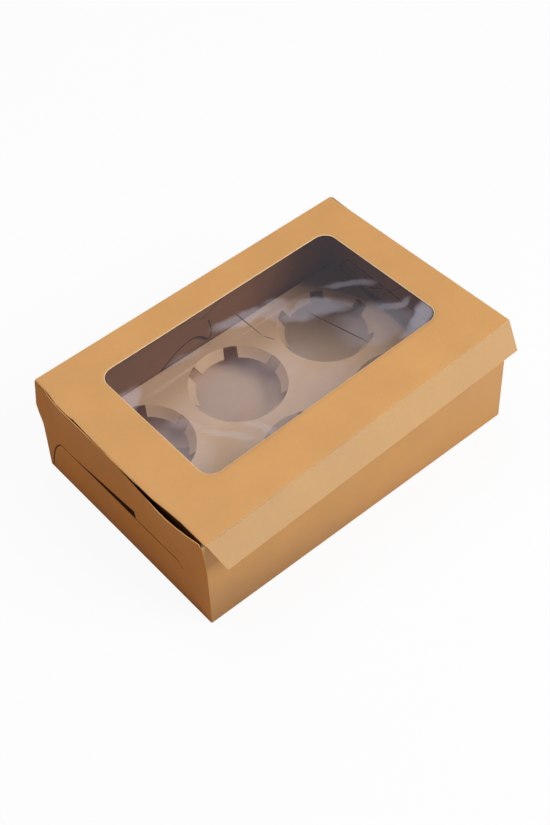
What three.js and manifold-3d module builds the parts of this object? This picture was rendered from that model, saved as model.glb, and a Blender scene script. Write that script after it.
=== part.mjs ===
// Kraft card cupcake box for six cakes: a folded carton with a window in its hinged lid, a tuck
// flap that hangs outside the front wall, and a drop-in card tray with six petalled cup holes.
// Millimetres. +X runs along the length, -Y is the front with the flap, +Z is up. The origin is the
// centre of the underside of the floor.
import * as THREE from 'three';
import { mergeVertices } from 'three/addons/utils/BufferGeometryUtils.js';
import loadSolids from 'manifold-3d';

// Overall sizes of the carton
const boxLength = 240;
const boxDepth = 162;
const boxHeight = 80;
const card = 0.5;
const clearance = 0.3;
const foldRadius = 1.0;

// Front wall, lower than the others so that the lid passes over it
const frontWallDrop = 3.1;

// The lid rests open by a little at its front right corner and dips at its front left corner
const lidLiftRight = 9.8;
const lidLiftLeft = -2.1;
const lidOverhang = 0.3;
const lidSideGap = 0.35;

// Window in the lid and the clear film behind it
const windowLength = 183;
const windowDepth = 105;
const windowOffsetX = 2.7;
const windowOffsetY = 5;
const windowRadius = 9;
const film = 0.2;
const filmMargin = 9;

// Side flaps of the lid that tuck down inside the side walls
const sideFlapDepth = 28;
const sideFlapFrontInset = 4;
const sideFlapRearInset = 15;
const sideFlapTaper = 11;

// Tuck flap along the front edge of the lid
const tuckFlapDepth = 18.4;
const tuckFlapAngle = 46;
const tuckFlapTwist = 3;
const tuckFlapTaper = 4;
const tuckFlapSideInset = 0.4;

// Side wall cut: a tongue whose upper edge runs level from near the rear corner to a small hook
const tongueHeight = 34;
const tongueRearInset = 17.5;
const tongueFootInset = 4;
const tongueFrontInset = 27;
const wedgeEndInset = 68;
const wedgeRise = 7;
const cutWidth = 0.9;
const rightCutWidth = 0.3;

// The left wall bulges at its top edge, where the lid's side flap presses on it. Its front part bows
// out further and leaves a gap beside the lid, and the rear left corner bulges lower down
const wallBulge = 2.3;
const wallBow = 3.2;
const lidBulge = 2;
const bulgeFoot = 47;
const cornerBulge = 2.3;
const cornerBulgeHeight = 59;
const cornerBulgeReach = 20;

// Hooked ears inside the back wall, one from each side wall
const earHeight = 62;
const earNose = 13;
const earBarb = 23.5;
const earNotch = 33;

// Tray with the cup holes
const trayHeight = 22;
const trayEndGap = 1.5;
const cupDiameter = 65.2;
const cupWebX = 10.6;
const cupWebY = 9.2;
const trayRim = 4;
const petalLength = 7.8;
const petalAngle = 50;
const petalCount = 6;
const notchWidth = 8.8;
const holeSegments = 60;

const solids = await loadSolids();
solids.setup();

function toSolid(geometry) {
  const plain = geometry.clone();
  plain.deleteAttribute('normal');
  plain.deleteAttribute('uv');
  const merged = mergeVertices(plain);
  const vertProperties = new Float32Array(merged.attributes.position.array);
  const triVerts = new Uint32Array(merged.index.array);
  return new solids.Manifold(new solids.Mesh({ numProp: 3, vertProperties, triVerts }));
}

function toGeometry(solid) {
  const mesh = solid.getMesh();
  const geometry = new THREE.BufferGeometry();
  geometry.setAttribute('position', new THREE.BufferAttribute(new Float32Array(mesh.vertProperties), 3));
  geometry.setIndex(new THREE.BufferAttribute(new Uint32Array(mesh.triVerts), 1));
  geometry.computeVertexNormals();
  return geometry;
}

function part(name, solid, material) {
  const mesh = new THREE.Mesh(toGeometry(solid), material);
  mesh.name = name;
  return mesh;
}

// Moves every point of a geometry through a function of its position
function reshape(geometry, place) {
  const position = geometry.attributes.position;
  for (let i = 0; i < position.count; i += 1) {
    const [x, y, z] = place(position.getX(i), position.getY(i), position.getZ(i));
    position.setXYZ(i, x, y, z);
  }
  return geometry;
}

const clamp = (value, low, high) => Math.min(high, Math.max(low, value));
const mix = (a, b, t) => a + (b - a) * t;

function roundedRectangle(length, depth, radius) {
  const x = length / 2;
  const y = depth / 2;
  const shape = new THREE.Shape();
  shape.moveTo(-x + radius, -y);
  shape.lineTo(x - radius, -y);
  shape.absarc(x - radius, -y + radius, radius, -Math.PI / 2, 0);
  shape.lineTo(x, y - radius);
  shape.absarc(x - radius, y - radius, radius, 0, Math.PI / 2);
  shape.lineTo(-x + radius, y);
  shape.absarc(-x + radius, y - radius, radius, Math.PI / 2, Math.PI);
  shape.lineTo(-x, -y + radius);
  shape.absarc(-x + radius, -y + radius, radius, Math.PI, 1.5 * Math.PI);
  return shape;
}

// Outline of a rounded rectangle with extra points along its straight sides
function divided(shape, spacing, arcSteps) {
  const points = [];
  for (const curve of shape.curves) {
    const straight = curve.isLineCurve;
    const steps = straight ? Math.max(1, Math.round(curve.getLength() / spacing)) : arcSteps;
    for (let i = 0; i < steps; i += 1) points.push(curve.getPoint(i / steps));
  }
  return points;
}

// Shapes drawn in the Y-Z plane are extruded along X
function extrudeAlongX(shape, length) {
  const geometry = new THREE.ExtrudeGeometry(shape, { depth: length, bevelEnabled: false, curveSegments: 6 });
  geometry.translate(0, 0, -length / 2);
  geometry.rotateY(Math.PI / 2);
  geometry.rotateX(Math.PI / 2);
  return geometry;
}

// Shapes drawn in the X-Z plane are extruded along Y, from the given face towards the front
function extrudeTowardsFront(shape, thickness, backFace) {
  const geometry = new THREE.ExtrudeGeometry(shape, { depth: thickness, bevelEnabled: false, curveSegments: 8 });
  geometry.rotateX(Math.PI / 2);
  geometry.translate(0, backFace, 0);
  return geometry;
}

function box(x0, x1, y0, y1, z0, z1) {
  const geometry = new THREE.BoxGeometry(x1 - x0, y1 - y0, z1 - z0);
  geometry.translate((x0 + x1) / 2, (y0 + y1) / 2, (z0 + z1) / 2);
  return geometry;
}

const halfLength = boxLength / 2;
const halfDepth = boxDepth / 2;

// Walls: a closed ring of card with soft folded corners, bowed at the left
const upTheWall = (z) => clamp((z - bulgeFoot) / (boxHeight - bulgeFoot), 0, 1) ** 1.3;
const easing = (t) => { const c = clamp(t, 0, 1); return c * c * (3 - 2 * c); };

function bowLeft(y, z) {
  const rear = easing((halfDepth - 7 - y) / (0.12 * boxDepth));
  const front = mix(0.85, 1, easing((halfDepth + y) / (0.3 * boxDepth)));
  const gap = Math.sin(Math.PI * clamp((-0.136 * boxDepth - y) / (0.37 * boxDepth), 0, 1));
  return (wallBulge * rear * front + wallBow * gap) * upTheWall(z);
}

// The lid's left fold follows the bulge of the wall and is straight again beside the gap
function lidBow(y) {
  const rear = easing((halfDepth - 8 - y) / (0.12 * boxDepth));
  const front = easing((0.38 * boxDepth + y) / (0.185 * boxDepth));
  return lidBulge * rear * front;
}

function bulgeCorner(x, y, z) {
  const near = clamp(1 - Math.hypot(x + halfLength, y - halfDepth) / 14, 0, 1);
  const height = clamp(1 - Math.abs(z - cornerBulgeHeight) / cornerBulgeReach, 0, 1);
  return cornerBulge * near * height;
}

function placeWall(x, y, z) {
  const left = x < -halfLength + foldRadius + card ? bowLeft(y, z) : 0;
  return [x - left - bulgeCorner(x, y, z), y, z];
}

const wallSpacing = 9;
const wallOutline = divided(roundedRectangle(boxLength, boxDepth, foldRadius), wallSpacing, 3);
const wallShape = new THREE.Shape(wallOutline);
const wallInside = divided(
  roundedRectangle(boxLength - 2 * card, boxDepth - 2 * card, foldRadius - card), wallSpacing, 3);
wallShape.holes.push(new THREE.Path(wallInside));
const wallGeometry = new THREE.ExtrudeGeometry(wallShape, {
  depth: boxHeight, steps: 12, bevelEnabled: false,
});
const wallRing = toSolid(reshape(wallGeometry, placeWall));

const floorGeometry = new THREE.ExtrudeGeometry(
  roundedRectangle(boxLength - card, boxDepth - card, foldRadius - card / 2),
  { depth: card, bevelEnabled: false, curveSegments: 3 });

const backWallTop = boxHeight - 2 * card - clearance + 0.5 * card;
const frontCut = box(-halfLength - 8, halfLength + 8, -halfDepth - 8, -halfDepth + foldRadius + 0.2,
  boxHeight - frontWallDrop, boxHeight + 8);
const backCut = box(-halfLength - 8, halfLength + 8, halfDepth - foldRadius - 0.2, halfDepth + 8,
  backWallTop, boxHeight + 8);

// The cut in each side wall, drawn as (y, z). The left one gapes in a wedge, the right one is closed
const footY = halfDepth - tongueFootInset;
const rearY = halfDepth - tongueRearInset;
const frontY = -halfDepth + tongueFrontInset;
const wedgeY = -halfDepth + wedgeEndInset;
function tongueCut(side, width, rise) {
  const shape = new THREE.Shape();
  shape.moveTo(footY, 2);
  shape.lineTo(footY + width, 2);
  shape.bezierCurveTo(footY - 3, 0.65 * tongueHeight, footY - 7, 0.82 * tongueHeight,
    rearY, tongueHeight + width);
  if (rise > 0) {
    shape.lineTo(rearY - 18, tongueHeight + width + 0.3);
    shape.lineTo(wedgeY + 0.9, tongueHeight + rise);
    shape.lineTo(wedgeY, tongueHeight + width);
  }
  shape.lineTo(frontY, tongueHeight + width);
  shape.lineTo(frontY - 3.3 - width / 3, tongueHeight - 3.7 + width / 3);
  shape.lineTo(frontY - 3, tongueHeight - 3.8);
  shape.lineTo(frontY, tongueHeight);
  shape.lineTo(rearY - 0.4, tongueHeight);
  shape.bezierCurveTo(footY - 7.6 - 0.3 * width, 0.81 * tongueHeight,
    footY - 3.4 - 0.7 * width, 0.64 * tongueHeight, footY, 2);
  const geometry = extrudeAlongX(shape, 24);
  geometry.translate(side * halfLength, 0, 0);
  return toSolid(geometry);
}

// Ears: each comes in from a side wall, lies along the back wall and hooks the other near the middle
function earShape(side, lift) {
  const root = side * (halfLength - card / 2);
  const shape = new THREE.Shape();
  const flip = (z) => (lift > 0 ? z : earHeight + earBarb - 8 - z);
  shape.moveTo(root, flip(5));
  shape.lineTo(side * 46, flip(14));
  shape.bezierCurveTo(side * 28, flip(20), side * 20, flip(earNotch), side * 3, flip(earNotch));
  shape.bezierCurveTo(side * -4, flip(earNotch - 1), side * -6, flip(earBarb + 3), side * -10, flip(earBarb));
  shape.bezierCurveTo(side * -earNose, flip(earBarb + 3), side * -earNose, flip(earBarb + 9),
    side * -(earNose - 3), flip(earBarb + 20));
  shape.lineTo(side * 20, flip(earHeight - 8));
  shape.lineTo(root, flip(earHeight));
  return shape;
}
const rearEarFace = halfDepth - card - clearance;
const frontEarFace = rearEarFace - card - clearance;
const leftEar = toSolid(extrudeTowardsFront(earShape(-1, 1), card, frontEarFace));
const rightEar = toSolid(extrudeTowardsFront(earShape(1, -1), card, rearEarFace));

const carton = wallRing
  .add(toSolid(floorGeometry))
  .subtract(toSolid(frontCut))
  .subtract(toSolid(backCut))
  .subtract(tongueCut(-1, cutWidth, wedgeRise))
  .subtract(tongueCut(1, rightCutWidth, 0))
  .add(leftEar)
  .add(rightEar);

// Lid: one sheet with its two side flaps folded down inside the side walls
const lidHalf = halfLength - card - lidSideGap;
const lidFront = -halfDepth - lidOverhang;
const sideFold = 0.9;

function lidLift(x, y) {
  const right = clamp(0.5 + x / (2 * lidHalf), 0, 1);
  return mix(lidLiftLeft, lidLiftRight, right) * (halfDepth - y) / (halfDepth - lidFront);
}

// Stations across the sheet: distance from the middle, drop below the lid and lean of the surface
function lidStations() {
  const flat = 7;
  const stations = [];
  for (let i = 0; i <= flat; i += 1) {
    stations.push({ x: (lidHalf - sideFold) * i / flat, drop: 0, lean: 0, front: 0, rear: 0 });
  }
  for (const lean of [30, 60, 90]) {
    const angle = lean * Math.PI / 180;
    stations.push({
      x: lidHalf - sideFold + sideFold * Math.sin(angle),
      drop: sideFold * (1 - Math.cos(angle)),
      lean: angle,
      front: lean === 90 ? sideFlapFrontInset + lidOverhang : 0,
      rear: lean === 90 ? sideFlapRearInset : 0,
    });
  }
  stations.push({
    x: lidHalf, drop: sideFlapDepth, lean: Math.PI / 2,
    front: sideFlapFrontInset + sideFlapTaper + lidOverhang,
    rear: sideFlapRearInset + sideFlapTaper,
  });
  return stations;
}
const half = lidStations();
const across = [...half.slice(1).reverse().map((s) => ({ ...s, side: -1 })), ...half.map((s) => ({ ...s, side: 1 }))];

const lidSheet = new THREE.BoxGeometry(across.length - 1, 1, 1, across.length - 1, 12, 1);
reshape(lidSheet, (u, v, w) => {
  const s = across[Math.round(u + (across.length - 1) / 2)];
  const y = mix(lidFront + s.front, halfDepth - s.rear, v + 0.5);
  const depth = (0.5 - w) * card;
  const atEdge = s.side < 0 && s.x > lidHalf - sideFold - 0.01;
  const bow = atEdge ? lidBow(y) * upTheWall(boxHeight - s.drop) : 0;
  const x = s.side * (s.x - depth * Math.sin(s.lean)) - bow;
  const z = boxHeight + lidLift(s.side * s.x, y) - s.drop - depth * Math.cos(s.lean);
  return [x, y, z];
});
const windowGeometry = new THREE.ExtrudeGeometry(
  roundedRectangle(windowLength, windowDepth, windowRadius), { depth: 40, bevelEnabled: false, curveSegments: 6 });
windowGeometry.translate(windowOffsetX, windowOffsetY, boxHeight - 20);
const lid = toSolid(lidSheet).subtract(toSolid(windowGeometry));

// Film behind the window, laid on the underside of the lid
const filmGeometry = new THREE.BoxGeometry(
  windowLength + 2 * filmMargin, windowDepth + 2 * filmMargin, film, 12, 8, 1);
reshape(filmGeometry, (u, v, w) => {
  const x = u + windowOffsetX;
  const y = v + windowOffsetY;
  return [x, y, boxHeight - card - 0.06 - film / 2 + w + lidLift(x, y)];
});

// Tuck flap: hinged along the front edge of the lid and hanging outside the front wall
const hingeY = lidFront - clearance - card / 2;
const tuckHalf = lidHalf - tuckFlapSideInset;
const tuckGeometry = new THREE.BoxGeometry(2, 1, card, 12, 2, 1);
reshape(tuckGeometry, (u, v, w) => {
  const out = mix(-card / 2, tuckFlapDepth, 0.5 - v);
  const x = u * (tuckHalf - tuckFlapTaper * clamp(out / tuckFlapDepth, 0, 1));
  const hangAngle = (tuckFlapAngle + tuckFlapTwist * u) * Math.PI / 180;
  const y = hingeY - out * Math.cos(hangAngle) - w * Math.sin(hangAngle);
  const z = boxHeight - card / 2 + lidLift(x, lidFront) - out * Math.sin(hangAngle) + w * Math.cos(hangAngle);
  return [x, y, z];
});

// Tray: a card deck with a leg folded down along the front and the back, standing on the floor
const trayHalfDepth = frontEarFace - card - clearance;
const trayHalfLength = halfLength - card - trayEndGap;
const trayFoot = card + 0.05;
const trayShape = new THREE.Shape();
trayShape.moveTo(-trayHalfDepth, trayFoot);
trayShape.lineTo(-trayHalfDepth, trayHeight - foldRadius);
trayShape.absarc(-trayHalfDepth + foldRadius, trayHeight - foldRadius, foldRadius, Math.PI, Math.PI / 2, true);
trayShape.lineTo(trayHalfDepth - foldRadius, trayHeight);
trayShape.absarc(trayHalfDepth - foldRadius, trayHeight - foldRadius, foldRadius, Math.PI / 2, 0, true);
trayShape.lineTo(trayHalfDepth, trayFoot);
trayShape.lineTo(trayHalfDepth - card, trayFoot);
trayShape.lineTo(trayHalfDepth - card, trayHeight - foldRadius);
trayShape.absarc(trayHalfDepth - foldRadius, trayHeight - foldRadius, foldRadius - card, 0, Math.PI / 2, false);
trayShape.lineTo(-trayHalfDepth + foldRadius, trayHeight - card);
trayShape.absarc(-trayHalfDepth + foldRadius, trayHeight - foldRadius, foldRadius - card, Math.PI / 2, Math.PI, false);
trayShape.lineTo(-trayHalfDepth + card, trayFoot);
let tray = toSolid(extrudeAlongX(trayShape, 2 * trayHalfLength));

// Petals: a ring of card leaning down from the rim of each hole, parted by square notches
const cupRadius = cupDiameter / 2;
const cupPitchX = cupDiameter + cupWebX;
const cupPitchY = cupDiameter + cupWebY;
const cupColumns = Math.floor((2 * (trayHalfLength - trayRim) + cupWebX) / cupPitchX);
const cupRows = Math.floor((2 * (trayHalfDepth - trayRim) + cupWebY) / cupPitchY);
const droop = petalAngle * Math.PI / 180;
const tipR = cupRadius - petalLength * Math.cos(droop);
const tipZ = -petalLength * Math.sin(droop);
const sideR = -card * Math.sin(droop);
const sideZ = -card * Math.cos(droop);
const petalProfile = [
  [cupRadius, 0], [cupRadius, -card * 0.25], [cupRadius + 0.8, -card * 0.25], [cupRadius + 0.8, -card * 0.75],
  [cupRadius, -card * 0.75], [cupRadius, -card], [tipR - sideR, tipZ + sideZ], [tipR, tipZ], [cupRadius, 0],
].map(([r, z]) => new THREE.Vector2(r, z));
const petalRing = toSolid(new THREE.LatheGeometry(petalProfile.slice().reverse(), holeSegments).rotateX(Math.PI / 2));
const hole = toSolid(new THREE.CylinderGeometry(cupRadius, cupRadius, 6, holeSegments).rotateX(Math.PI / 2));

let petals = petalRing;
for (let i = 0; i < petalCount; i += 1) {
  const notch = new THREE.Shape();
  notch.moveTo(tipR - 4, -notchWidth * 0.56);
  notch.lineTo(cupRadius + 2, -notchWidth * 0.49);
  notch.lineTo(cupRadius + 2, notchWidth * 0.49);
  notch.lineTo(tipR - 4, notchWidth * 0.56);
  const cutter = new THREE.ExtrudeGeometry(notch, { depth: 24, bevelEnabled: false });
  cutter.translate(0, 0, -12);
  cutter.rotateZ((i / petalCount) * 2 * Math.PI);
  petals = petals.subtract(toSolid(cutter));
}

for (let column = 0; column < cupColumns; column += 1) {
  for (let row = 0; row < cupRows; row += 1) {
    const x = (column - (cupColumns - 1) / 2) * cupPitchX;
    const y = (row - (cupRows - 1) / 2) * cupPitchY;
    tray = tray.subtract(hole.translate([x, y, trayHeight]));
    tray = tray.add(petals.translate([x, y, trayHeight]));
  }
}

const kraft = new THREE.MeshStandardMaterial({ color: 0xc0905a, roughness: 0.85, metalness: 0 });
const kraftLid = new THREE.MeshStandardMaterial({ color: 0xd09e60, roughness: 0.8, metalness: 0 });
const kraftFlap = new THREE.MeshStandardMaterial({ color: 0xd7ac7c, roughness: 0.8, metalness: 0 });
const kraftTray = new THREE.MeshStandardMaterial({ color: 0xc49c72, roughness: 0.85, metalness: 0 });
const clear = new THREE.MeshStandardMaterial({
  color: 0xf4f6f8, roughness: 0.08, metalness: 0, transparent: true, opacity: 0.2,
});

const group = new THREE.Group();
group.add(part('base_carton', carton, kraft));
group.add(part('cup_insert', tray, kraftTray));
group.add(part('lid_panel', lid, kraftLid));
group.add(part('window_film', toSolid(filmGeometry), clear));
group.add(part('tuck_flap', toSolid(tuckGeometry), kraftFlap));

export default group;
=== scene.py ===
# Kraft card cupcake box with a windowed lid, an open tuck flap and a tray for six cakes.
# Metres. +X runs along the length, -Y is the front with the flap, +Z is up.
import math

import bmesh
import bpy
from mathutils import Matrix, Vector, noise


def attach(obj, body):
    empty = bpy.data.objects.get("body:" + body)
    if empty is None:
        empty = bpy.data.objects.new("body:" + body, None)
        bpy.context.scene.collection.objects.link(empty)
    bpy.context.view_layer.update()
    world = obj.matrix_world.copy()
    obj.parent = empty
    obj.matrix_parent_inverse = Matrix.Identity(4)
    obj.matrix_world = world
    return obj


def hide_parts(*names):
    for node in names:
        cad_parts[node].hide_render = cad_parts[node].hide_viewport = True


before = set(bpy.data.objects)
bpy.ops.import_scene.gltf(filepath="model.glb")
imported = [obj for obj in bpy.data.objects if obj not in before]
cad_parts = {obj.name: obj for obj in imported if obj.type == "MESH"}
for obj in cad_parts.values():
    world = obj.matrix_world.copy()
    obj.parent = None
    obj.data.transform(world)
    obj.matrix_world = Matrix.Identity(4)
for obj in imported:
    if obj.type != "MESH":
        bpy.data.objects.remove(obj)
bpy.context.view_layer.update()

MM = 0.001

# Sizes of the folded card, in millimetres
BOX_LENGTH = 240.0
BOX_DEPTH = 162.0
BOX_HEIGHT = 80.0
CARD = 0.5
LID_HALF = BOX_LENGTH / 2 - 0.55
LID_FRONT = -81.57
LID_BACK = BOX_DEPTH / 2 - 0.1
LID_FOLD = 0.6
LIFT_LEFT = -2.1
LIFT_RIGHT = 9.8
LIFT_HALF = 119.15
LEFT_FOLD_RAISE = 0.55
LEFT_BULGE = 2.25
BULGE_FOOT = 47.0
WINDOW_LENGTH = 183.0
WINDOW_DEPTH = 105.0
WINDOW_X = 2.7
WINDOW_Y = 5.0
WINDOW_RADIUS = 9.0
WINDOW_CHAMFER = 0.42
CHAMFER_DROP = 0.24
SIDE_FLAP = 28.0
FLAP_CREASE_Y = -82.08
TUCK_FLAP = 18.28
TUCK_HALF = 118.75
TUCK_ANGLE = 46.0
TUCK_TWIST = 3.0
TUCK_TAPER = 4.0
FILM = 0.15
FILM_MARGIN = 9.0
FILM_GAP = 0.12
TRAY_TOP = 22.0
EAR_FACE_Y = 78.86
RIGHT_WALL_X = BOX_LENGTH / 2 - 0.54

# Place, reach, turn and strength of the pale hazy patches in the film, which are painted reflections of
# the surroundings
REFLECTION_HAZE_SPOTS = [
    (-78, 38, 17, 8, 22, 0.15),
    (-30, 46, 16, 5, -6, 0.05),
    (18, 44, 28, 7, -14, 0.15),
    (34, 38, 14, 9, -30, 0.10),
    (52, 20, 30, 10, -32, 0.13),
    (72, -14, 34, 20, -20, 0.08),
    (82, 24, 20, 4, -40, 0.07),
    (95, -28, 24, 7, 18, 0.22),
    (90, -10, 18, 4, -10, 0.12),
    (-18, 0, 60, 30, -8, 0.07),
    (-8, -30, 60, 22, 0, 0.07),
    (-30, -34, 5, 24, 26, 0.14),
    (-50, -20, 4, 24, 34, 0.12),
    (-64, 4, 4, 20, 40, 0.08),
    (-78, -6, 24, 34, 0, 0.07),
]

# Fine creases of the film, drawn as dark lines of painted shade, given like the hazy patches
CREASE_SHADE_LINES = [
    (43.3, -12.0, 30, 0.55, -78.3, 0.55),
    (5.4, 29.0, 18, 0.5, -90, 0.45),
    (7.0, 12.0, 6, 0.5, -66, 0.4),
    (88, -12, 11, 0.6, -18, 0.5),
    (82, -3, 8, 0.6, -50, 0.4),
]


# How far the lid's corners stand off the walls' top, level along the back
def lid_lift(x, y):
    right = min(1.0, max(0.0, 0.5 + x / (2 * LIFT_HALF)))
    height = LIFT_LEFT + (LIFT_RIGHT - LIFT_LEFT) * right
    return height * (BOX_DEPTH / 2 - y) / (BOX_DEPTH + 0.3)


def eased(t):
    t = min(1.0, max(0.0, t))
    return t * t * (3 - 2 * t)


# How far the left fold of the lid bulges with the wall, at a distance below the lid
def lid_bow(y, drop):
    rear = eased((BOX_DEPTH / 2 - 8.4 - y) / (0.12 * BOX_DEPTH))
    front = eased((0.38 * BOX_DEPTH + y) / (0.185 * BOX_DEPTH))
    height = max(0.0, (BOX_HEIGHT - drop - BULGE_FOOT) / (BOX_HEIGHT - BULGE_FOOT))
    return LEFT_BULGE * rear * front * height ** 1.3


# Camera at the photograph's place
def add_camera():
    camera = bpy.data.cameras.new("camera")
    camera.lens = 1666.59 * 36 / 825
    camera.sensor_width = 36
    camera.clip_start = 0.05
    camera.clip_end = 50
    holder = bpy.data.objects.new("camera", camera)
    bpy.context.scene.collection.objects.link(holder)
    azimuth, elevation, roll = math.radians(-38.575), math.radians(49.952), math.radians(-2.688)
    back = Vector((
        math.sin(azimuth) * math.cos(elevation),
        -math.cos(azimuth) * math.cos(elevation),
        math.sin(elevation)))
    level = Vector((0, 0, 1)).cross(back).normalized()
    upward = back.cross(level)
    right = math.cos(roll) * level + math.sin(roll) * upward
    up = -math.sin(roll) * level + math.cos(roll) * upward
    turn = Matrix((right, up, back)).transposed()
    place = Vector((13.148, 17.011, 0)) * MM + back * 1.08424
    holder.matrix_world = Matrix.Translation(place) @ turn.to_4x4()
    bpy.context.scene.camera = holder


# Floor, lamps and surroundings
def add_studio():
    scene = bpy.context.scene
    scene.view_settings.view_transform = "Standard"

    bed = bmesh.new()
    bmesh.ops.create_grid(bed, x_segments=1, y_segments=1, size=6)
    mesh = bpy.data.meshes.new("table_top")
    bed.to_mesh(mesh)
    bed.free()
    table = bpy.data.objects.new("table_top", mesh)
    table.location = (0, 0, -0.0004)
    scene.collection.objects.link(table)

    paper = bpy.data.materials.new("white_table")
    paper.use_nodes = True
    nodes, links = paper.node_tree.nodes, paper.node_tree.links
    shader = nodes["Principled BSDF"]
    shader.inputs["Base Color"].default_value = (0.86, 0.86, 0.86, 1)
    shader.inputs["Roughness"].default_value = 0.9
    glow = nodes.new("ShaderNodeEmission")
    glow.inputs["Color"].default_value = (1, 1, 1, 1)
    glow.inputs["Strength"].default_value = 1.0
    path = nodes.new("ShaderNodeLightPath")
    share = nodes.new("ShaderNodeMath")
    share.operation = "MULTIPLY"
    share.inputs[1].default_value = 0.92
    mix = nodes.new("ShaderNodeMixShader")
    links.new(path.outputs["Is Camera Ray"], share.inputs[0])
    links.new(share.outputs["Value"], mix.inputs["Fac"])
    links.new(shader.outputs["BSDF"], mix.inputs[1])
    links.new(glow.outputs["Emission"], mix.inputs[2])
    links.new(mix.outputs["Shader"], nodes["Material Output"].inputs["Surface"])
    table.data.materials.append(paper)

    world = bpy.data.worlds.new("studio")
    scene.world = world
    world.use_nodes = True
    nodes, links = world.node_tree.nodes, world.node_tree.links
    sky = nodes["Background"]
    sky.inputs["Color"].default_value = (0.93, 0.96, 1.0, 1)
    sky.inputs["Strength"].default_value = 0.22
    white = nodes.new("ShaderNodeBackground")
    white.inputs["Color"].default_value = (1, 1, 1, 1)
    white.inputs["Strength"].default_value = 1.0
    path = nodes.new("ShaderNodeLightPath")
    mix = nodes.new("ShaderNodeMixShader")
    links.new(path.outputs["Is Camera Ray"], mix.inputs["Fac"])
    links.new(sky.outputs["Background"], mix.inputs[1])
    links.new(white.outputs["Background"], mix.inputs[2])
    links.new(mix.outputs["Shader"], nodes["World Output"].inputs["Surface"])

    def lamp(name, place, aim, size, power, colour):
        light = bpy.data.lights.new(name, "AREA")
        light.shape = "SQUARE"
        light.size = size
        light.energy = power
        light.color = colour
        holder = bpy.data.objects.new(name, light)
        holder.location = place
        holder.rotation_mode = "QUATERNION"
        holder.rotation_quaternion = (Vector(aim) - Vector(place)).to_track_quat("-Z", "Y")
        scene.collection.objects.link(holder)

    lamp("key_lamp", (0.62, -1.10, 1.22), (0, 0, 0.04), 0.9, 19, (1.0, 0.985, 0.96))
    lamp("top_lamp", (-0.1, 0.5, 1.7), (0, 0, 0.04), 1.2, 11, (1.0, 1.0, 1.0))
    lamp("left_lamp", (-1.5, 0.1, 0.35), (0, 0, 0.04), 0.8, 0.8, (1.0, 0.72, 0.5))


# Node group: paper fibres and mottling for all the card
def make_card_group():
    group = bpy.data.node_groups.new("card_fibres", "ShaderNodeTree")
    face = group.interface
    face.new_socket(name="Vector", in_out="INPUT", socket_type="NodeSocketVector")
    face.new_socket(name="Colour", in_out="INPUT", socket_type="NodeSocketColor")
    face.new_socket(name="Fibre Colour", in_out="INPUT", socket_type="NodeSocketColor")
    amount = face.new_socket(name="Fibre Amount", in_out="INPUT", socket_type="NodeSocketFloat")
    amount.default_value = 0.35
    blotch = face.new_socket(name="Mottle Amount", in_out="INPUT", socket_type="NodeSocketFloat")
    blotch.default_value = 0.1
    face.new_socket(name="Colour", in_out="OUTPUT", socket_type="NodeSocketColor")
    face.new_socket(name="Height", in_out="OUTPUT", socket_type="NodeSocketFloat")
    face.new_socket(name="Roughness", in_out="OUTPUT", socket_type="NodeSocketFloat")
    nodes, links = group.nodes, group.links
    entry = nodes.new("NodeGroupInput")
    leave = nodes.new("NodeGroupOutput")

    def noise_node(scale, detail, rough, stretch):
        spread = nodes.new("ShaderNodeMapping")
        spread.inputs["Scale"].default_value = stretch
        links.new(entry.outputs["Vector"], spread.inputs["Vector"])
        tex = nodes.new("ShaderNodeTexNoise")
        tex.inputs["Scale"].default_value = scale
        tex.inputs["Detail"].default_value = detail
        tex.inputs["Roughness"].default_value = rough
        links.new(spread.outputs["Vector"], tex.inputs["Vector"])
        return tex.outputs["Fac"]

    def ranged(value, low, high, to_low, to_high):
        node = nodes.new("ShaderNodeMapRange")
        node.inputs["From Min"].default_value = low
        node.inputs["From Max"].default_value = high
        node.inputs["To Min"].default_value = to_low
        node.inputs["To Max"].default_value = to_high
        links.new(value, node.inputs["Value"])
        return node.outputs["Result"]

    def maths(operation, first, second):
        node = nodes.new("ShaderNodeMath")
        node.operation = operation
        for index, value in enumerate((first, second)):
            if isinstance(value, (int, float)):
                node.inputs[index].default_value = value
            else:
                links.new(value, node.inputs[index])
        return node.outputs["Value"]

    def mixed(kind, factor, first, second):
        node = nodes.new("ShaderNodeMix")
        node.data_type = "RGBA"
        node.blend_type = kind
        links.new(factor, node.inputs["Factor"])
        links.new(first, node.inputs["A"])
        links.new(second, node.inputs["B"])
        return node.outputs["Result"]

    long_fibres = noise_node(420, 3, 0.65, (1.0, 5.0, 2.4))
    cross_fibres = noise_node(520, 2, 0.6, (4.4, 1.0, 1.6))
    mottle = noise_node(26, 4, 0.6, (1.0, 1.0, 1.0))
    grain = noise_node(1600, 2, 0.7, (1.0, 1.0, 1.0))

    fibres = maths(
        "MAXIMUM", ranged(long_fibres, 0.56, 0.72, 0, 1), ranged(cross_fibres, 0.6, 0.74, 0, 0.8))
    fibre_share = maths("MULTIPLY", fibres, entry.outputs["Fibre Amount"])
    fibred = mixed("MIX", fibre_share, entry.outputs["Colour"], entry.outputs["Fibre Colour"])

    cloud = nodes.new("ShaderNodeHueSaturation")
    uneven = maths("MULTIPLY", ranged(mottle, 0.3, 0.7, -1, 1), entry.outputs["Mottle Amount"])
    level = maths("ADD", 1.0, uneven)
    speck = maths("ADD", level, ranged(grain, 0.3, 0.7, -0.035, 0.035))
    links.new(speck, cloud.inputs["Value"])
    links.new(fibred, cloud.inputs["Color"])
    links.new(cloud.outputs["Color"], leave.inputs["Colour"])

    height = maths("ADD", maths("MULTIPLY", fibres, 0.4), maths("MULTIPLY", grain, 0.6))
    links.new(height, leave.inputs["Height"])
    links.new(ranged(maths("ADD", mottle, maths("MULTIPLY", fibres, 0.2)), 0.3, 0.9, 0.5, 0.7),
              leave.inputs["Roughness"])
    return group


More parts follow.
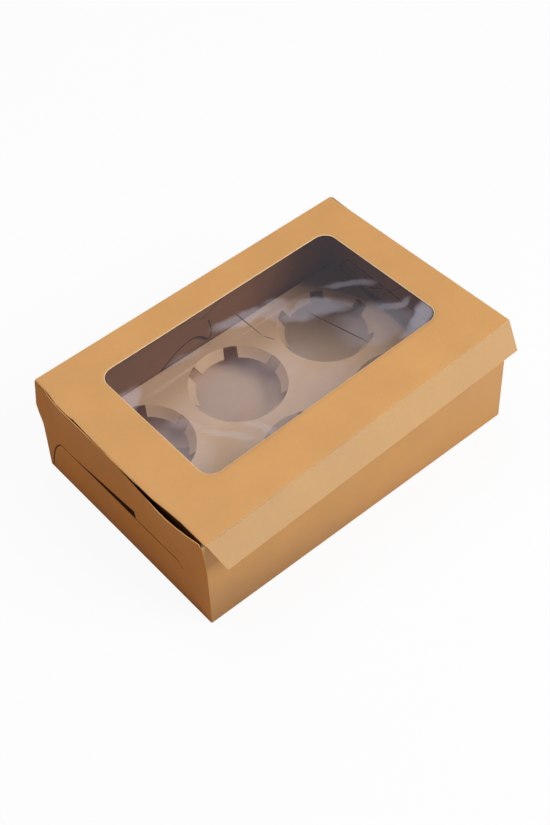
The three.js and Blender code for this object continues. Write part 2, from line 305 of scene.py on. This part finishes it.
# How much light reaches the tray: less at its left end and in its rear right corner
def tray_light(nodes, links, place):
    def faded(value, near, far, low, high):
        node = nodes.new("ShaderNodeMapRange")
        node.interpolation_type = "SMOOTHSTEP"
        node.inputs["From Min"].default_value = near
        node.inputs["From Max"].default_value = far
        node.inputs["To Min"].default_value = low
        node.inputs["To Max"].default_value = high
        links.new(value, node.inputs["Value"])
        return node.outputs["Result"]

    apart = nodes.new("ShaderNodeSeparateXYZ")
    links.new(place, apart.inputs["Vector"])
    slant = nodes.new("ShaderNodeMath")
    slant.operation = "MULTIPLY_ADD"
    slant.inputs[1].default_value = 0.43
    links.new(apart.outputs["Y"], slant.inputs[0])
    links.new(apart.outputs["X"], slant.inputs[2])
    least = nodes.new("ShaderNodeMath")
    least.operation = "MINIMUM"
    links.new(faded(apart.outputs["X"], -0.116, -0.100, 0.22, 1.0), least.inputs[0])
    links.new(faded(slant.outputs["Value"], 0.117, 0.128, 1.0, 0.24), least.inputs[1])
    return least.outputs["Value"]


def card_material(name, colour, fibre, fibre_amount, mottle, bump, shine=0.35, shaded_ends=False):
    material = bpy.data.materials.new(name)
    material.use_nodes = True
    nodes, links = material.node_tree.nodes, material.node_tree.links
    shader = nodes["Principled BSDF"]
    coords = nodes.new("ShaderNodeTexCoord")
    card = nodes.new("ShaderNodeGroup")
    card.node_tree = CARD_GROUP
    card.inputs["Colour"].default_value = (*colour, 1)
    card.inputs["Fibre Colour"].default_value = (*fibre, 1)
    card.inputs["Fibre Amount"].default_value = fibre_amount
    card.inputs["Mottle Amount"].default_value = mottle
    relief = nodes.new("ShaderNodeBump")
    relief.inputs["Strength"].default_value = bump
    relief.inputs["Distance"].default_value = 0.00008
    links.new(coords.outputs["Object"], card.inputs["Vector"])
    tone = card.outputs["Colour"]
    if shaded_ends:
        dim = nodes.new("ShaderNodeVectorMath")
        dim.operation = "SCALE"
        links.new(tone, dim.inputs["Vector"])
        links.new(tray_light(nodes, links, coords.outputs["Object"]), dim.inputs["Scale"])
        tone = dim.outputs["Vector"]
    links.new(tone, shader.inputs["Base Color"])
    links.new(card.outputs["Roughness"], shader.inputs["Roughness"])
    links.new(card.outputs["Height"], relief.inputs["Height"])
    links.new(relief.outputs["Normal"], shader.inputs["Normal"])
    shader.inputs["Specular IOR Level"].default_value = shine
    return material


def film_material():
    material = bpy.data.materials.new("clear_film")
    material.use_nodes = True
    nodes, links = material.node_tree.nodes, material.node_tree.links
    shader = nodes["Principled BSDF"]
    shader.inputs["Roughness"].default_value = 0.06
    shader.inputs["IOR"].default_value = 1.5
    shader.inputs["Specular IOR Level"].default_value = 0.5
    coords = nodes.new("ShaderNodeTexCoord")

    def maths(operation, first, second):
        node = nodes.new("ShaderNodeMath")
        node.operation = operation
        links.new(first, node.inputs[0])
        if isinstance(second, float):
            node.inputs[1].default_value = second
        else:
            links.new(second, node.inputs[1])
        return node.outputs["Value"]

    # One soft long patch, strongest at its middle
    def cloudy(vector, x, y, reach_x, reach_y, turn, level):
        place = nodes.new("ShaderNodeMapping")
        place.vector_type = "TEXTURE"
        place.inputs["Location"].default_value = (x * MM, y * MM, 0.081)
        place.inputs["Rotation"].default_value = (0, 0, math.radians(turn))
        place.inputs["Scale"].default_value = (reach_x * MM, reach_y * MM, 0.1)
        links.new(vector, place.inputs["Vector"])
        ball = nodes.new("ShaderNodeTexGradient")
        ball.gradient_type = "SPHERICAL"
        links.new(place.outputs["Vector"], ball.inputs["Vector"])
        fade = nodes.new("ShaderNodeMapRange")
        fade.interpolation_type = "SMOOTHSTEP"
        fade.inputs["From Min"].default_value = 0.0
        fade.inputs["From Max"].default_value = 0.6
        fade.inputs["To Max"].default_value = level
        links.new(ball.outputs["Fac"], fade.inputs["Value"])
        return fade.outputs["Result"]

    def strongest(vector, patches):
        total = cloudy(vector, *patches[0])
        for patch in patches[1:]:
            total = maths("MAXIMUM", total, cloudy(vector, *patch))
        return total

    # The painted reflection patches follow slightly wavy places, the painted crease lines run straight
    ripple = nodes.new("ShaderNodeTexNoise")
    ripple.inputs["Scale"].default_value = 38
    ripple.inputs["Detail"].default_value = 2
    links.new(coords.outputs["Object"], ripple.inputs["Vector"])
    wavy = nodes.new("ShaderNodeVectorMath")
    wavy.operation = "MULTIPLY_ADD"
    wavy.inputs[1].default_value = (0.02, 0.02, 0.0)
    links.new(ripple.outputs["Color"], wavy.inputs[0])
    links.new(coords.outputs["Object"], wavy.inputs[2])
    reflection_haze = maths("ADD", strongest(wavy.outputs["Vector"], REFLECTION_HAZE_SPOTS), 0.03)
    crease_shade = strongest(coords.outputs["Object"], CREASE_SHADE_LINES)

    # Pale lavender where the patches show is painted reflection; the creases turn it near-black as
    # painted shade
    tint = nodes.new("ShaderNodeMix")
    tint.data_type = "RGBA"
    tint.inputs["A"].default_value = (0.72, 0.69, 0.80, 1)
    tint.inputs["B"].default_value = (0.05, 0.04, 0.05, 1)
    links.new(maths("MULTIPLY", crease_shade, 4.0), tint.inputs["Factor"])
    links.new(tint.outputs["Result"], shader.inputs["Base Color"])
    links.new(maths("MAXIMUM", reflection_haze, crease_shade), shader.inputs["Alpha"])
    return material


# Turns a working mesh into a finished piece that moves with one body
def finish_piece(name, mesh_data, materials, body, node, sharp=34.0):
    mesh = bpy.data.meshes.new(name)
    mesh_data.to_mesh(mesh)
    mesh_data.free()
    for material in materials:
        mesh.materials.append(material)
    piece = bpy.data.objects.new(name, mesh)
    bpy.context.scene.collection.objects.link(piece)
    mesh.polygons.foreach_set("use_smooth", [True] * len(mesh.polygons))
    mesh.set_sharp_from_angle(angle=math.radians(sharp))
    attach(piece, body)
    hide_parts(node)
    return piece


# Gives a sheet its thickness below the surface
def thicken(work, thickness):
    bmesh.ops.recalc_face_normals(work, faces=work.faces)
    if sum(face.normal.z for face in work.faces) < 0:
        bmesh.ops.reverse_faces(work, faces=work.faces)
    bmesh.ops.solidify(work, geom=list(work.faces), thickness=thickness * MM)


# Points round the window, anticlockwise from its right side: x, y, corner or side, which one, share of it
def rounded_outline(length, depth, radius, along, across, corner):
    points = []
    x, y = length / 2, depth / 2
    corners = ((x - radius, y - radius, 0), (-x + radius, y - radius, 90),
               (-x + radius, -y + radius, 180), (x - radius, -y + radius, 270))
    for index, (cx, cy, start) in enumerate(corners):
        for step in range(corner + 1):
            angle = math.radians(start + 90 * step / corner)
            points.append((cx + radius * math.cos(angle), cy + radius * math.sin(angle),
                           "corner", index, step / corner))
        side = along if index % 2 == 0 else across
        nx, ny, nstart = corners[(index + 1) % 4]
        a = points[-1]
        b = (nx + radius * math.cos(math.radians(nstart)), ny + radius * math.sin(math.radians(nstart)))
        for step in range(1, side):
            t = step / side
            points.append((a[0] + (b[0] - a[0]) * t, a[1] + (b[1] - a[1]) * t, "side", index, t))
    return points


# The point of the lid's edge that lies opposite a point of the window's outline
def lid_edge_point(px, py, kind, index, t, half):
    if kind == "side":
        return Vector(((px, LID_BACK, 0), (-half, py, 0), (px, LID_FRONT, 0), (half, py, 0))[index])
    sx = (half, -half, -half, half)[index]
    sy = (LID_BACK, LID_BACK, LID_FRONT, LID_FRONT)[index]
    if t == 0.5:
        return Vector((sx, sy, 0))
    share = t * 2 if t < 0.5 else (1 - t) * 2
    if (t < 0.5) == (index % 2 == 0):
        flat = WINDOW_Y + math.copysign(WINDOW_DEPTH / 2 - WINDOW_RADIUS, sy)
        return Vector((sx, flat + (sy - flat) * share, 0))
    flat = WINDOW_X + math.copysign(WINDOW_LENGTH / 2 - WINDOW_RADIUS, sx)
    return Vector((flat + (sx - flat) * share, sy, 0))


# The flat lid: rings of faces from the window's chamfered edge out to the folds; returns its outer edges
def ring_sheet(work, half, steps=12):
    outline = rounded_outline(WINDOW_LENGTH, WINDOW_DEPTH, WINDOW_RADIUS, 40, 24, 8)
    ring = bmesh.ops.create_circle(work, cap_ends=False, radius=0.1, segments=len(outline))["verts"]
    inner, outer = [], []
    for vert, (x, y, kind, index, t) in zip(ring, outline):
        px, py = x + WINDOW_X, y + WINDOW_Y
        vert.co = Vector((px, py, -CHAMFER_DROP))
        inner.append(Vector((px, py, 0)))
        outer.append(lid_edge_point(px, py, kind, index, t, half))
    edges = list(work.edges)
    order = {vert: i for i, vert in enumerate(ring)}
    for step in range(1, steps + 1):
        made = bmesh.ops.extrude_edge_only(work, edges=edges)["geom"]
        renewed = {}
        for vert in (item for item in made if isinstance(item, bmesh.types.BMVert)):
            for link in vert.link_edges:
                other = link.other_vert(vert)
                if other in order:
                    renewed[vert] = order[other]
        t = (step - 1) / (steps - 1)
        for vert, i in renewed.items():
            start = inner[i] + (outer[i] - inner[i]).normalized() * WINDOW_CHAMFER
            vert.co = start.lerp(outer[i], t)
        for face in (item for item in made if isinstance(item, bmesh.types.BMFace)):
            face.material_index = 1 if step == 1 else 0
        order = renewed
        edges = [item for item in made if isinstance(item, bmesh.types.BMEdge)
                 and all(vert in order for vert in item.verts)]
    return edges


# One side flap: the outer edge runs over a soft fold and down inside the side wall
def fold_side_flap(work, edges, side, half):
    rim = [e for e in edges if all(abs(v.co.x - side * half) < 1e-3 for v in e.verts)]
    top_front, top_back = LID_FRONT + 4.3, LID_BACK - 15
    foot_front, foot_back = LID_FRONT + 15.3, LID_BACK - 26
    for row in ("lean 30", "lean 60", "lean 90", "neck", "foot"):
        made = bmesh.ops.extrude_edge_only(work, edges=rim)["geom"]
        rim = [e for e in made if isinstance(e, bmesh.types.BMEdge) and all(v in made for v in e.verts)]
        rim = [e for e in rim if len(e.link_faces) == 1]
        for vert in [v for v in made if isinstance(v, bmesh.types.BMVert)]:
            if row.startswith("lean"):
                angle = math.radians(int(row[5:]))
                vert.co.x = side * (half + LID_FOLD * math.sin(angle))
                vert.co.z = -LID_FOLD * (1 - math.cos(angle))
            if row == "lean 90":
                vert.co.y = min(max(vert.co.y, top_front), top_back)
            if row == "neck":
                vert.co.z = -4.0
            if row == "foot":
                share = (vert.co.y - top_front) / (top_back - top_front)
                vert.co.y = foot_front + share * (foot_back - foot_front)
                vert.co.z = -SIDE_FLAP


def make_lid(card, edge, flap, window_edge_shade):
    half = LID_HALF - LID_FOLD
    work = bmesh.new()
    edges = ring_sheet(work, half)
    for side in (-1, 1):
        fold_side_flap(work, edges, side, half)

    # The corners stand off the walls, the left fold follows the wall, and the middle waves a little
    for vert in work.verts:
        x, y = vert.co.x, vert.co.y
        near = max(0.0, 1 - (y - LID_FRONT) / 2.2)
        sag = 0.16 * near * near
        wave = 0.25 * noise.noise(Vector((x * 0.011, y * 0.013, 3.1)))
        hold = min(1.0, (LID_BACK - y) / 30) * min(1.0, (y - LID_FRONT) / 12)
        if x < -half + 0.01:
            vert.co.x -= lid_bow(y, -vert.co.z)
        share = (LID_BACK - y) / (LID_BACK - LID_FRONT)
        level = min(1.0, share / 0.12, (1 - share) / 0.35)
        vert.co.z += LEFT_FOLD_RAISE * max(0.0, (-x - 100) / 19.4) * level
        vert.co.z += BOX_HEIGHT + lid_lift(x, y) - sag + wave * max(0.0, hold)
        vert.co *= MM
    bmesh.ops.remove_doubles(work, verts=work.verts, dist=1e-6)
    thicken(work, CARD)
    mark_cut_edges(work)
    for face in work.faces:
        centre = face.calc_center_median() / MM
        beside_x = abs(centre.x - WINDOW_X) < WINDOW_LENGTH / 2 + 0.3
        beside_y = abs(centre.y - WINDOW_Y) < WINDOW_DEPTH / 2 + 0.3
        # The side flaps below the lid's top get a dark card: painted shade
        if centre.z < BOX_HEIGHT + lid_lift(centre.x, centre.y) - 1.2:
            face.material_index = 2
        # The window's upright cut edges are painted dark: a painted shadow line where the film lies under
        # the card
        if abs(face.normal.z) < 0.5 and beside_x and beside_y:
            face.material_index = 3
    return finish_piece("lid_sheet", work, [card, edge, flap, window_edge_shade], "lid", "lid_panel")


# Faces of a sheet that are as narrow as the card is thick show its paler core
def mark_cut_edges(work):
    work.normal_update()
    widest = CARD * 1.3 * MM
    for face in work.faces:
        lengths = [edge.calc_length() for edge in face.edges]
        area = min(lengths) * max(lengths) * 1.05
        if len(face.verts) == 4 and min(lengths) < widest and face.calc_area() < area:
            thin = [e for e in face.edges if e.calc_length() < widest]
            sides = [e for e in face.edges if e not in thin]
            if len(thin) == 2 and all(e.calc_face_angle(0) > 1.2 for e in sides):
                face.material_index = 1


def make_tuck_flap(card, edge):
    work = bmesh.new()
    columns, rows = 60, 10
    bmesh.ops.create_grid(work, x_segments=columns, y_segments=rows, size=0.5)
    out_steps = [0.0, 0.25, 0.6, 1.1, 1.8, 3.0, 5.5, 8.5, 11.5, 14.8, TUCK_FLAP]
    for vert in work.verts:
        row = round((0.5 - vert.co.y) * rows)
        out = out_steps[row]
        u = vert.co.x * 2
        width = TUCK_HALF - TUCK_TAPER * out / TUCK_FLAP
        x = u * width
        # The first millimetres by the crease turn over more softly than the rest
        ease = 0.35 * math.exp(-out / 0.9)
        bow = 0.3 * math.sin(math.pi * out / TUCK_FLAP) * noise.noise(Vector((x * 0.02, 1.7, 0.4)))
        base_z = BOX_HEIGHT - CARD / 2 + 0.174 + lid_lift(x, -81.3)
        angle = math.radians(TUCK_ANGLE + TUCK_TWIST * u)
        y = FLAP_CREASE_Y - out * math.cos(angle) - bow * math.sin(angle)
        z = base_z - out * math.sin(angle) + bow * math.cos(angle) - ease * 0.1
        vert.co = Vector((x, y, z)) * MM
    thicken(work, CARD)
    mark_cut_edges(work)
    return finish_piece("tuck_flap_sheet", work, [card, edge], "flap", "tuck_flap")


def make_film(material):
    work = bmesh.new()
    bmesh.ops.create_grid(work, x_segments=110, y_segments=70, size=0.5)
    for vert in work.verts:
        u, v = vert.co.x * 2, vert.co.y * 2
        x = WINDOW_X + u * (WINDOW_LENGTH / 2 + FILM_MARGIN)
        y = WINDOW_Y + v * (WINDOW_DEPTH / 2 + FILM_MARGIN)
        from_end, from_side = (1 - abs(u)) * 100 - 4, (1 - abs(v)) * 61 - 4
        inside = eased(from_end / 36) * eased(from_side / 26)
        crumple = eased((x - 58) / 26) * eased((30 - y) / 30) * eased(from_end / 12)
        crumple *= noise.noise(Vector((x * 0.03 + y * 0.075, y * 0.03 - x * 0.02, 4.5)))
        slack = 0.5 + 0.5 * noise.noise(Vector((x * 0.028, y * 0.04, 0.5)))
        fine = 0.5 + 0.5 * noise.noise(Vector((x * 0.07 + y * 0.05, y * 0.02, 7.5)))
        pull = noise.noise(Vector(((x - y) * 0.05, (x + y) * 0.012, 2.5)))
        drop = (0.8 * slack + 0.35 * fine + 0.3 * pull) * inside + 0.9 * crumple
        z = BOX_HEIGHT - CARD - FILM_GAP + lid_lift(x, y) - max(0.0, drop)
        vert.co = Vector((x, y, z)) * MM
    thicken(work, FILM)
    return finish_piece("film_sheet", work, [material], "lid", "window_film", sharp=80)


# A merged copy of a rigid CAD piece, with the paler cut edges of the card picked out
def dress_copy(node, name, body, materials, choose):
    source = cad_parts[node]
    work = bmesh.new()
    work.from_mesh(source.data)
    bmesh.ops.remove_doubles(work, verts=work.verts, dist=1e-6)
    bmesh.ops.dissolve_limit(work, angle_limit=0.002, verts=work.verts, edges=work.edges)
    bmesh.ops.triangulate(work, faces=[f for f in work.faces if len(f.verts) > 4])
    work.normal_update()
    for face in work.faces:
        face.material_index = choose(face)
    return finish_piece(name, work, materials, body, node)


# Points along a chain of curves, each given by four control points
def bezier(curves, steps=12):
    path = []
    for curve in curves:
        a, b, c, d = (Vector(point) for point in curve)
        for step in range(steps):
            t = step / steps
            near, far = 1 - t, t
            path.append(a * near ** 3 + b * 3 * far * near ** 2 + c * 3 * far * far * near + d * far ** 3)
    return path


# A narrow dark strip of painted shadow along a cut edge inside the box; face points to where it is seen
# from
def make_shadow_line(name, path, width, face, card):
    work = bmesh.new()
    bmesh.ops.create_grid(work, x_segments=len(path) - 1, y_segments=1, size=0.5)
    for vert in work.verts:
        index = round((vert.co.x + 0.5) * (len(path) - 1))
        ahead = path[min(index + 1, len(path) - 1)] - path[max(index - 1, 0)]
        side = ahead.cross(face).normalized()
        vert.co = (path[index] + side * width * vert.co.y) * MM
    bmesh.ops.recalc_face_normals(work, faces=work.faces)
    if sum(item.normal.dot(face) for item in work.faces) < 0:
        bmesh.ops.reverse_faces(work, faces=work.faces)
    bmesh.ops.solidify(work, geom=list(work.faces), thickness=0.04 * MM)
    return finish_piece(name, work, [card], "carton", "base_carton")


# Control points of the two painted shadow lines, each as a place along the wall and a height
EAR_CURVES = (
    ((-62, 11.8), (-56, 12.6), (-52, 13.2), (-46, 14)),
    ((-46, 14), (-28, 20), (-20, 33), (-3, 33)),
    ((-3, 33), (4, 32), (6, 26.5), (10, 23.5)),
    ((10, 23.5), (13, 26.5), (13, 32.5), (10, 43.5)),
)
RIGHT_CUT_CURVES = (
    ((77.1, 2), (73.8, 22), (69.6, 27.8), (63.3, 34.15)),
    ((63.3, 34.15), (25, 34.15), (-15, 34.15), (-54, 34.15)),
)


# Painted shadow strips along the lower edge of the left ear and along the closed cut of the right wall
def make_shadow_lines(card):
    ear = bezier([[(x, EAR_FACE_Y, z) for x, z in curve] for curve in EAR_CURVES])
    make_shadow_line("ear_edge_shadow", ear, 0.9, Vector((0, -1, 0)), card)
    cut = bezier([[(RIGHT_WALL_X, y, z) for y, z in curve] for curve in RIGHT_CUT_CURVES])
    make_shadow_line("right_cut_shadow", cut, 1.3, Vector((-1, 0, 0)), card)


# Which card a face of the carton shows: 0 outside, 1 cut edge, 2 inside, darker than the card is as
# painted shade, 3 left wall, painted darker as shade, 4 floor inside
def carton_face(face):
    centre, normal = face.calc_center_median() / MM, face.normal
    if centre.z > 75 and normal.z > 0.8:
        return 0 if centre.x < -118 else 1
    # The cut faces in the side slits take the dark inside card: painted shade in the cuts
    if abs(centre.x) > 118.5 and abs(normal.x) < 0.35 and 1 < centre.z < 44 and abs(centre.y) < 79:
        return 2
    if centre.z < 1 and normal.z > 0.5:
        return 4
    # The ears take the dark inside card as painted shade
    if abs(centre.x) < 119 and 78 < centre.y < 80.45:
        return 2
    faces_in_x = centre.x * normal.x < -35
    faces_in_y = (centre.y > 77 and normal.y < -0.3) or (centre.y < -79 and normal.y > 0.3)
    if faces_in_x or faces_in_y:
        return 2
    # The left wall's outside is painted darker and more saturated: painted shade
    if centre.x < -119 and normal.x < -0.5:
        return 3
    return 0


# The tray's narrow upright faces at the deck show the cut edge of its card
def tray_face(face):
    centre, normal = face.calc_center_median() / MM, face.normal
    return 1 if centre.z > TRAY_TOP - 0.6 and abs(normal.z) < 0.3 else 0


add_camera()
add_studio()

CARD_GROUP = make_card_group()

# Colour, fibre colour, amount of fibres, mottling, relief, shine and whether the ends lie in shade
CARD_KINDS = {
    "kraft_lid": ((0.71, 0.365, 0.125), (0.78, 0.48, 0.22), 0.22, 0.05, 0.25),
    "kraft_walls": ((0.64, 0.325, 0.105), (0.68, 0.40, 0.17), 0.22, 0.06, 0.25),
    # Left wall's outside, darker than the other walls: painted shade
    "kraft_left_wall_painted_shade": ((0.55, 0.20, 0.037), (0.62, 0.26, 0.07), 0.2, 0.07, 0.25, 0.08),
    # Inside of the card, much darker than the card is: painted shade
    "inner_card_painted_shade": ((0.225, 0.098, 0.040), (0.28, 0.14, 0.07), 0.2, 0.12, 0.25, 0.15),
    # Near-black card for painted shadow: the window's cut edges and the strips along the ear and the
    # right wall's cut
    "shaded_card": ((0.045, 0.018, 0.010), (0.07, 0.03, 0.02), 0.2, 0.1, 0.2, 0.05),
    # Lid's side flaps, darker than the card is: painted shade
    "lid_side_flaps_painted_shade": ((0.17, 0.07, 0.035), (0.23, 0.11, 0.06), 0.2, 0.1, 0.2, 0.1),
    "floor_card": ((0.74, 0.52, 0.35), (0.78, 0.60, 0.44), 0.2, 0.06, 0.25),
    "kraft_flap": ((0.63, 0.37, 0.16), (0.76, 0.52, 0.28), 0.22, 0.05, 0.25),
    "kraft_tray": ((0.78, 0.52, 0.32), (0.84, 0.62, 0.44), 0.22, 0.06, 0.25, 0.35, True),
    "cut_edges": ((0.86, 0.66, 0.42), (0.92, 0.76, 0.55), 0.3, 0.06, 0.3),
    "wall_cut_edges": ((0.50, 0.29, 0.13), (0.60, 0.38, 0.20), 0.3, 0.06, 0.3),
}
card = {name: card_material(name, *values) for name, values in CARD_KINDS.items()}

make_lid(card["kraft_lid"], card["cut_edges"], card["lid_side_flaps_painted_shade"], card["shaded_card"])
make_tuck_flap(card["kraft_flap"], card["cut_edges"])
make_film(film_material())
carton_cards = [card[name] for name in
                ("kraft_walls", "wall_cut_edges", "inner_card_painted_shade", "kraft_left_wall_painted_shade", "floor_card")]
dress_copy("base_carton", "carton_walls", "carton", carton_cards, carton_face)
make_shadow_lines(card["shaded_card"])
tray_cards = [card["kraft_tray"], card["wall_cut_edges"]]
dress_copy("cup_insert", "cup_tray", "carton", tray_cards, tray_face)
